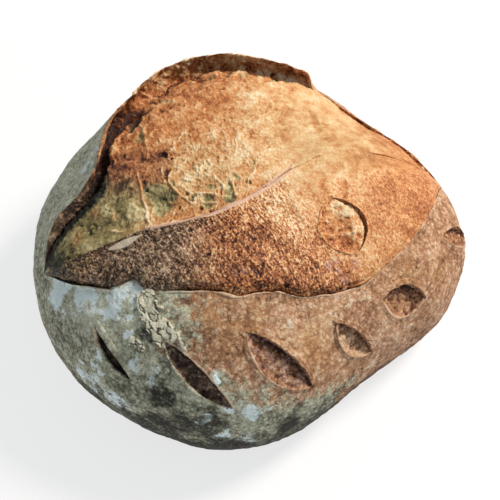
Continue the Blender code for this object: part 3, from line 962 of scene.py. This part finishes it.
    # Painted shade: darker in the pits, the windows, the crease and the hollow.
    tone -= 0.22 * ashen * pale + 0.10 * window - 0.30 * strand + 0.42 * np.clip(dug, 0, 1.2)
    tone -= 0.55 * crease + 0.16 * scald + 0.18 * stalk + 0.55 * hollow * (1 - right)
    tone += torn_edge * (0.22 * tatters - 0.04)
    tone *= (1 - ribbon) * (1 - sliver)
    tone += 0.78 * ribbon + 0.90 * sliver - 0.08 * scorch - 0.5 * painted_shadow
    green = 0.92 * olive * (1 - 0.75 * scorch) + straw + 0.85 * window + 0.7 * crease
    green += 0.3 * hollow * left + painted_shadow
    ashen = np.maximum(0.80 * left * band * (1 - 0.7 * tip), 0.20 * ashen * pale)
    return relief, {
        "tone": np.clip(tone, 0, 1),
        "olive": np.clip(green, 0, 1) * (1 - strand),
        "ashen": np.clip(ashen + 0.75 * sliver + 0.30 * ribbon, 0, 1) * (1 - strand),
        "painted_sheen": np.clip(painted_sheen, 0, 1) * (1 - ribbon),
        "ribbon": ribbon,
        "coarse": (0.36 - 0.18 * olive + 0.74 * band) * (1 - 0.5 * right) * smooth,
    }


def crumb_finish():
    finish = Finish("torn crumb", 0.62, 0.28)
    fine = finish.grain(0.0011, 3, 0.65)
    coarse = finish.grain(0.0036, 3, 0.6)
    thread = finish.fibres(0.0009, 2.6, FIBRE_TURN)
    thick_thread = finish.fibres(0.0014, 1.8, FIBRE_TURN)
    fleck = finish.total(
        finish.swing(finish.grain(0.0012, 3, 0.8), 0.24, 0.34, 0.66),
        finish.swing(thread, 0.20, 0.38, 0.62),
        finish.levels(thick_thread, 0.57, 0.63, 0.0, -0.20),
        finish.spots(0.0011, 0.26, 0.57, 0.63),
    )
    speckle = finish.times(fleck, finish.mark("coarse"))
    tone = finish.total(finish.mark("tone"), speckle, finish.swing(coarse, 0.08))
    colour = finish.ramp(
        tone, (0.0, (0.022, 0.008, 0.005)), (1.0, (0.85, 0.69, 0.46)), (0.20, (0.135, 0.034, 0.012)),
        (0.40, (0.37, 0.117, 0.036)), (0.60, (0.61, 0.252, 0.088)), (0.80, (0.75, 0.455, 0.225)),
    )
    green = finish.ramp(
        tone, (0.0, (0.012, 0.012, 0.008)), (1.0, (0.74, 0.66, 0.42)), (0.30, (0.095, 0.082, 0.038)),
        (0.60, (0.37, 0.305, 0.130)), (0.80, (0.56, 0.490, 0.260)),
    )
    grey = finish.ramp(
        tone, (0.0, (0.020, 0.014, 0.010)), (1.0, (0.74, 0.63, 0.48)), (0.30, (0.125, 0.084, 0.052)),
        (0.60, (0.34, 0.245, 0.165)),
    )
    # Painted sheen: violet-grey glints on the band.
    sheen = finish.times(finish.mark("painted_sheen"), finish.levels(fine, 0.34, 0.58, 0.20, 0.85))
    colour = finish.coat(
        colour,
        (finish.mark("olive"), green),
        (finish.mark("ashen"), grey),
        (sheen, (0.42, 0.31, 0.37)),
        (finish.mark("ribbon"), (0.71, 0.46, 0.33)),
    )
    gloss = finish.levels(finish.mark("coarse"), 0.0, 1.0, 0.72, 0.50)
    finish.feed(finish.shader.inputs["Roughness"], gloss)
    return finish.complete(colour, finish.coat(coarse, (0.5, fine)), 0.0009)


def band_rails(o):
    """From under the crust's front edge over the dark band to its own curled edge."""
    band = o.ridge - o.front
    rails = []
    for distance, share, lift, rows in (
        (-0.8, 0.05, -3.0 * MM, 3),
        (0.5, 0.04, (-1.9 + 1.75 * o.joined) * MM, 3),
        (1.6, 0.08, (-0.3 + 0.45 * o.joined) * MM, 4),
        (4.0, 0.15, (0.50 - 0.28 * o.joined) * BAND_SWELL, 8),
        (9.0, 0.28, (0.95 - 0.35 * o.joined) * BAND_SWELL, 20),
    ):
        rails.append((o.front + o.turn(distance, band, share), lift * o.tips, rows))
    for share, part, rows in ((0.48, 1.0, 40), (0.80, 0.78, 18)):
        rails.append((o.front + share * band, part * BAND_SWELL * o.tips, rows))
    top = BAND_SWELL * (1 - BAND_SAG) * o.tips
    step = RIDGE_STEP * o.ridge_fade
    for distance, share, lift, rows in (
        (-2.2, 0.08, 0.1 * step, 6), (-0.8, 0.04, 0.3 * step, 4), (0.0, 0.0, -0.05 * step, 3),
        (0.4, 0.03, -0.6 * step, 3), (1.4, 0.06, -1.3 * step - 0.5 * MM * o.tips, 1),
    ):
        rails.append((o.ridge + o.turn(distance, band, share), top + lift, rows))
    return rails


def pale_rails(o):
    """From under the band's edge over the pale crumb and down into the hollow."""
    crumb = o.ear - o.ridge
    low = BAND_SWELL * (1 - BAND_SAG) * o.tips - RIDGE_STEP * o.ridge_fade
    rails = [
        (o.ridge - o.turn(4.0, crumb, 0.08), low - 0.8 * MM * o.tips, 2),
        (o.ridge - o.turn(1.2, crumb, 0.03), low - 0.25 * MM * o.tips, 2),
    ]
    start = o.ridge + o.turn(0.3, crumb, 0.01)
    for share, rows in ((0.0, 22), (0.18, 32), (0.40, 32), (0.62, 32), (0.82, 28), (1.0, 5)):
        around = start + (o.hollow_edge - start) * share
        rails.append((around, low + (o.rise - low) * share ** 1.6, rows))
    width = o.ear - o.hollow_edge
    for share, lift, rows in (
        (0.18, o.rise - 0.35 * (o.rise + o.depth), 6), (0.34, -0.62 * o.depth, 5),
        (0.52, -o.depth, 3), (0.70, -1.5 * o.depth - 0.5 * MM * o.tips, 1),
    ):
        rails.append((o.hollow_edge + share * width, lift, rows))
    return rails


def make_opening_piece(name, columns, rail_maker, relief_maker, core, tuck):
    """A piece of crumb that runs from one tip of the opening to the other."""
    sheet = lay_sheet(name, columns, rail_maker, relief_maker, tapered=True)
    show(close_piece(*sheet, core, tuck), torn_crumb)


torn_crumb = crumb_finish()
make_opening_piece("dark_band", BAND_COLUMNS, band_rails, crumb_relief, BAND_CORE, 0.002)
make_opening_piece("pale_crumb", CRUMB_COLUMNS, pale_rails, crumb_relief, PALE_CORE, 0.002)


# ---- The torn face of the ear ------------------------------------------------
# The underside of the flap of crust that lifted in the oven: ragged, baked
# dark caramel at the top, grey-brown at the left and almost raw at the right.
TEAR_COLUMNS = 640
TEAR_CORE = (0.0, 0.04, 0.060)
TEAR_HOLES = (
    # along in degrees; height on the face, radius and depth in millimetres
    (74, 5, 1.9, 2.2), (70, 4, 1.7, 2.0), (66, 6, 1.2, 1.5), (86, 3, 2.6, 2.4), (91, 3, 2.6, 2.2),
    (60, 5, 1.4, 1.5), (46, 6, 1.2, 1.0), (53, 5, 1.3, 1.2), (80, 7, 1.4, 1.4), (97, 3, 2.0, 1.8),
    (104, 5, 1.3, 1.2), (83, 8, 1.2, 1.2), (110, 3, 1.6, 1.4),
)


def tear_rails(o):
    """From the hollow's floor up the torn face to just under the lip."""
    width = o.ear - o.hollow_edge
    rails = [
        (o.hollow_edge + 0.30 * width, -1.4 * o.depth - 0.8 * MM * o.tips, 3),
        (o.hollow_edge + 0.50 * width, -0.98 * o.depth, 5),
        (o.ear - 0.15 * width, -0.85 * o.depth, 6),
    ]
    for (part, _), rows in zip(TORN_FACE, (7, 8, 7, 4, 3)):
        rails.append((o.wall(part), part * o.height, rows))
    rails.append((o.wall(0.93, 0.6 * o.tips), 0.93 * o.height, 2))
    rails.append((o.wall(0.45, 1.0 * o.tips), 0.40 * o.height, 2))
    rails.append((o.wall(0.0, 1.4 * o.tips), -1.6 * o.depth - 1.5 * MM * o.tips, 1))
    return rails


def tear_relief(base, points):
    """Relief of the torn face, and the marks that its finish is painted by."""
    a, _ = angles(base)
    o = Opening(np.radians(a))
    ragged = points + 0.0015 * drift(points, 0.005, 90)
    clumps = lumps(ragged, 0.0046, 93, octaves=3)
    crumbs = lumps(points, 0.0016, 94, octaves=2)
    clump = fall(bubbles(ragged, 0.0029, 95)[0], 0.1, 0.7)
    dug = np.zeros_like(a)
    for along, lift, radius, deep in TEAR_HOLES:
        along = np.radians(np.array([along]))
        middle = body_point(along, Opening(along).ear)
        middle = middle + body_normal(middle) * lift * MM
        near = np.linalg.norm(ragged - middle, axis=-1)
        dug = np.maximum(dug, deep * fall(near, 0.4 * radius * MM, 1.3 * radius * MM))

    # The part of the face's height each point stands at, below 0 in the hollow.
    part = np.linalg.norm(points - base, axis=-1) / np.maximum(o.height, 0.001)
    part = np.where(((points - base) * body_normal(base)).sum(axis=-1) < 0, -part, part)
    left = fall(a + 3 * clumps, 22, 34)
    deep = fall(part, -0.4, 0.15)
    raw = ease(a + 4 * clumps, 94, 106) * fall(part + 0.15 * clumps, 0.35, 0.6)
    raw *= ease(clumps + 0.5 * clump, -0.35, 0.25)
    lit = ease(part + 0.12 * clumps, 0.45, 0.95)
    painted_hollow_shadow = fall(part + 0.10 * clumps, 0.40, 0.80) * ease(a, 20, 27) * fall(a, 52, 62)
    relief = MM * (clumps + 0.6 * clump + 0.45 * crumbs - 1.2 * dug) * (1 - 0.45 * ease(part, 0.75, 1.0))
    # Painted shade: darker in the holes, in the hollow at the face's foot (deep, tinted green at the left)
    # and low on the face at the left; painted light on the upper face (lit).
    tone = 0.40 + 0.30 * clumps + 0.16 * (clump - 0.4) + 0.14 * crumbs - 0.26 * dug - 0.03 * left
    tone += 0.36 * raw + 0.12 * lit * (1 - left) - 0.5 * painted_hollow_shadow + 0.17 * ease(a, 60, 76) * fall(a, 104, 116)
    tone -= 0.38 * deep * (1 - raw) + 0.5 * fall(part, -0.05, 0.25) * fall(a, 22, 40)
    return relief, {
        "tone": np.clip(tone, 0, 1),
        "olive": 0.5 * left * deep,
        "ashen": np.maximum(0.8 * left, 0.20 * raw),
        "coarse": np.full_like(a, 0.5),
    }


make_opening_piece("torn_ear", TEAR_COLUMNS, tear_rails, tear_relief, TEAR_CORE, 0.001)


# ---- The crumb in the leaf cuts ----------------------------------------------
# Each cut gaped a few millimetres in the oven: a thin proud rim of crust on
# its lower side, an undercut edge on its upper side, and rough crumb between.
LEAF_COLUMNS = 110
LEAF_LOOKS = (
    # tone, ash and a painted violet sheen; the worn rim's side, strength and end along the cut
    (0.12, 0.80, 0.0, -1, 1.2, -0.3),
    (0.42, 0.75, 0.0, 1, 1.5, 9),
    (0.60, 0.15, 0.5, -1, 1.0, 9),
    (0.84, 0.30, 0.0, -1, 1.0, 9),
    (0.60, 0.15, 0.0, -1, 1.0, 9),
    (0.64, 0.00, 0.0, -1, 1.0, 9),
    (0.56, 0.00, 0.0, -1, 1.0, 9),
)
# The profile of a cut, from below its lower rim to above its upper edge: side (-1 to 1),
# margin and lift in millimetres, part of the depth, rows to the next place.
LEAF_PROFILE = (
    (-1.00, -3.0, -0.45, 0.0, 3), (-1.00, -2.3, 0.03, 0.0, 3), (-1.00, -1.2, 0.10, 0.0, 3),
    (-1.00, -0.45, 0.42, 0.0, 3), (-1.00, -0.05, 0.50, 0.0, 3), (-0.97, 0.0, 0.10, 0.06, 3),
    (-0.88, 0.0, 0.0, 0.34, 4), (-0.62, 0.0, 0.0, 0.66, 6), (-0.20, 0.0, 0.0, 0.86, 8),
    (0.25, 0.0, 0.0, 0.98, 8), (0.70, 0.0, 0.0, 1.05, 7), (1.02, 0.3, 0.0, 0.92, 4),
    (1.05, 0.5, 0.0, 0.50, 3), (0.98, 0.0, -0.25, 0.10, 3), (0.97, 0.0, 0.16, 0.0, 3),
    (1.00, 0.35, 0.26, 0.0, 3), (1.00, 1.2, 0.10, 0.0, 3), (1.00, 2.3, 0.02, 0.0, 3),
    (1.00, 3.0, -0.45, 0.0, 1),
)


def leaf_rails(cut, a):
    """Rows across one cut, at these parts of its half length."""
    gape = cut.taper(a)
    lip = ease(gape, 0.0, 0.25)
    half = cut.half_width * gape + 0.00015
    rails = []
    for side, margin, lift, part, rows in LEAF_PROFILE:
        b = cut.shift * gape + side * half + margin * MM * (1 if abs(margin) > 1 else lip)
        raised = lift * MM * (1 if lift < -0.4 else lip)
        rails.append((b, raised - part * cut.deep * gape ** 0.6, rows))
    return rails


def band_lift(points):
    """How far the dark band stands off the plain body at these points."""
    a, r = angles(points)
    around, lift = loft(band_rails(Opening(np.radians(a))))
    row = np.clip((around < np.radians(r)).sum(axis=0) - 1, 0, len(around) - 2)[None]
    low, high = (np.take_along_axis(around, row + k, axis=0)[0] for k in (0, 1))
    start, stop = (np.take_along_axis(lift, row + k, axis=0)[0] for k in (0, 1))
    return start + (stop - start) * np.clip((np.radians(r) - low) / (high - low), 0, 1)


def make_leaf_cut(number, cut, in_crumb):
    reach = 1 + LEAF_MARGIN / cut.half_length
    a = reach * np.sin(np.linspace(-1, 1, LEAF_COLUMNS + 1) * math.pi / 2)
    across, lift = loft(leaf_rails(cut, a))
    mesh, column, row = flat_sheet(f"leaf_cut_{number}", LEAF_COLUMNS, len(across) - 1)
    a, lift = a[column], lift[row, column]
    gape = cut.taper(a)
    base = cut.place(a, across[row, column])
    outward = body_normal(base)
    side = cut.across(base)
    lift = lift - 0.0005 * ease(np.abs(a), 1.0, reach)
    if in_crumb:
        swell = 0.0035 * hump(side, 0.60, 0.55) * fall(side, 0.92, 1.02)
        lift = lift + band_lift(base) + swell * gape * ease(side, -1.0, -0.3)
    lifted = base + outward * lift[:, None]
    relief, marks = crumb_relief(base, lifted) if in_crumb else crust_relief(base, lifted)

    # Rough crumb inside the outline, the crust or the band around it.
    gap = cut.outside(base)
    inside = ease(-gap, -0.0003, 0.0003)
    clumps = lumps(lifted + 0.0008 * drift(lifted, 0.003, 100), 0.0033, 20 + number, octaves=3)
    crumbs = lumps(lifted, 0.0011, 30 + number, octaves=2)
    rough = MM * (0.80 * clumps + 0.40 * crumbs) * ease(gape, 0.0, 0.5)
    normals = sheet_normals(lifted, outward, column, row)
    points = lifted + normals * (relief * (1 - inside) + rough * inside)[:, None]

    tone, ash, painted_sheen, rim_side, rim_strength, rim_end = LEAF_LOOKS[number - 1]
    # Painted shadow under each cut's upper edge; in the crumb cut it narrows to a dark slit there, with
    # painted light on the upper right of the mound.
    shadow = ease(side + 0.2 * clumps, 0.35, 0.85)
    tone = tone + 0.26 * clumps + 0.16 * crumbs - 0.34 * shadow
    if in_crumb:
        tone += 0.34 * shadow - 0.40 * ease(side, 0.90, 1.0) + 0.24 * ease(side - 0.7 * a, -0.2, 0.9)
        marks["olive"] = 0 * inside
        marks["painted_sheen"] = marks["painted_sheen"] * (1 - inside)
    else:
        worn = rim_strength * (0.35 + 0.45 * ease(clumps, -0.4, 0.5)) * ease(side * rim_side, 0.0, 0.6)
        worn *= fall(a, rim_end - 0.4, rim_end + 0.2) * (1 - inside) * gape ** 0.3
        marks["rim"] = worn * hump(gap, 0.0004, 0.0005)
        marks["inside"] = inside
        marks["painted_sheen"] = painted_sheen * inside * ease(clumps, -0.2, 0.3)
    marks["tone"] = marks["tone"] * (1 - inside) + np.clip(tone, 0, 1) * inside
    marks["ashen"] = ash * inside
    core = cut.middle - cut.normal * (cut.deep + 0.009)
    return close_piece(mesh, points, marks, core, tuck=0.0015)


*crust_cuts, crumb_cut = leaf_cuts
for number, cut in enumerate(crust_cuts, start=1):
    show(make_leaf_cut(number, cut, in_crumb=False), baked_crust)
show(make_leaf_cut(len(leaf_cuts), crumb_cut, in_crumb=True), torn_crumb)


# ---- The caked flour ---------------------------------------------------------
# Flour from the proving basket, caked thick on the left shoulder and cracked
# into small plates as the crust stretched under it.
FLOUR_GRID = (190, 118)
FLOUR_REACH = 0.985         # how near the patch comes to its pointed ends


def make_caked_flour():
    columns, rows = FLOUR_GRID
    mesh, column, row = flat_sheet("caked_flour", columns, rows)
    a = np.sin((column / columns - 0.5) * math.pi * FLOUR_REACH)
    b = (row / rows * 2 - 1) * CAKED_FLOUR.half_width * CAKED_FLOUR.taper(a)
    base = CAKED_FLOUR.place(a, b)
    outward = body_normal(base)
    relief, marks = crust_relief(base, base, sharp=True)
    cover = ease(-CAKED_FLOUR.outside(base), 0.0004, 0.0040)
    over_cuts = np.max([fall(cut.outside(base), 0.0004, 0.0022) for cut in leaf_cuts], axis=0)
    lift = relief - 0.0005 * (1 - cover) + 0.00005 - 0.0045 * over_cuts
    core = CAKED_FLOUR.middle - CAKED_FLOUR.normal * 0.012
    return close_piece(mesh, base + outward * lift[:, None], marks, core, tuck=0.001)


show(make_caked_flour(), baked_crust)


# ---- The table, the light and the camera -------------------------------------
# A plain white table that glows a little, one soft warm lamp at the back right
# and cool daylight all round. The camera looks down on the loaf's front side.
TABLE_SIZE = 6.0
TABLE_GREY = (0.26, 0.26, 0.26, 1)
TABLE_GLOW = 0.73
DAYLIGHT = (0.84, 0.92, 0.98, 1)
DAYLIGHT_STRENGTH = 0.36
LAMP_PLACE = Vector((0.95, 0.50, 1.25))
LAMP_TARGET = Vector((0, 0, 0.06))
LAMP_SIZE = 0.45
LAMP_POWER = 29
LAMP_COLOUR = (1.0, 0.94, 0.86)
CAMERA_ELEVATION = math.radians(58)
CAMERA_DISTANCE = 0.85
CAMERA_TARGET = Vector((0.0018, -0.0079, 0.050))
FRAME_WIDTH = 0.2653        # what the frame spans at the target, metres
FRAME_SHIFT = 0.006         # parts of the frame
SENSOR = 36.0


def make_table():
    table = bmesh.new()
    bmesh.ops.create_grid(table, x_segments=1, y_segments=1, size=TABLE_SIZE / 2)
    mesh = bpy.data.meshes.new("table")
    table.to_mesh(mesh)
    table.free()
    material = bpy.data.materials.new("pale table")
    material.use_nodes = True
    shader = material.node_tree.nodes["Principled BSDF"]
    shader.inputs["Base Color"].default_value = TABLE_GREY
    shader.inputs["Roughness"].default_value = 0.9
    shader.inputs["Emission Color"].default_value = (1, 1, 1, 1)
    shader.inputs["Emission Strength"].default_value = TABLE_GLOW
    mesh.materials.append(material)
    add_object("table", mesh)


def aim(piece, towards_viewer):
    """Turns a camera or a lamp so that it looks against this direction."""
    piece.rotation_euler = towards_viewer.to_track_quat("Z", "Y").to_euler()


def make_lamp():
    lamp = bpy.data.lights.new("key", "AREA")
    lamp.shape = "DISK"
    lamp.size = LAMP_SIZE
    lamp.energy = LAMP_POWER
    lamp.color = LAMP_COLOUR
    piece = add_object("key", lamp)
    piece.location = LAMP_PLACE
    aim(piece, LAMP_PLACE - LAMP_TARGET)


def make_camera():
    lens = bpy.data.cameras.new("camera")
    lens.sensor_width = SENSOR
    lens.lens = SENSOR * CAMERA_DISTANCE / FRAME_WIDTH
    lens.shift_x = -FRAME_SHIFT
    lens.shift_y = FRAME_SHIFT
    camera = add_object("camera", lens)
    towards = Vector((0, -math.cos(CAMERA_ELEVATION), math.sin(CAMERA_ELEVATION)))
    camera.location = CAMERA_TARGET + towards * CAMERA_DISTANCE
    aim(camera, towards)
    bpy.context.scene.camera = camera


def make_daylight():
    world = bpy.data.worlds.new("soft room")
    world.use_nodes = True
    background = world.node_tree.nodes["Background"]
    background.inputs["Color"].default_value = DAYLIGHT
    background.inputs["Strength"].default_value = DAYLIGHT_STRENGTH
    bpy.context.scene.world = world


make_table()
make_camera()
make_daylight()
make_lamp()
bpy.context.scene.view_settings.view_transform = "Standard"
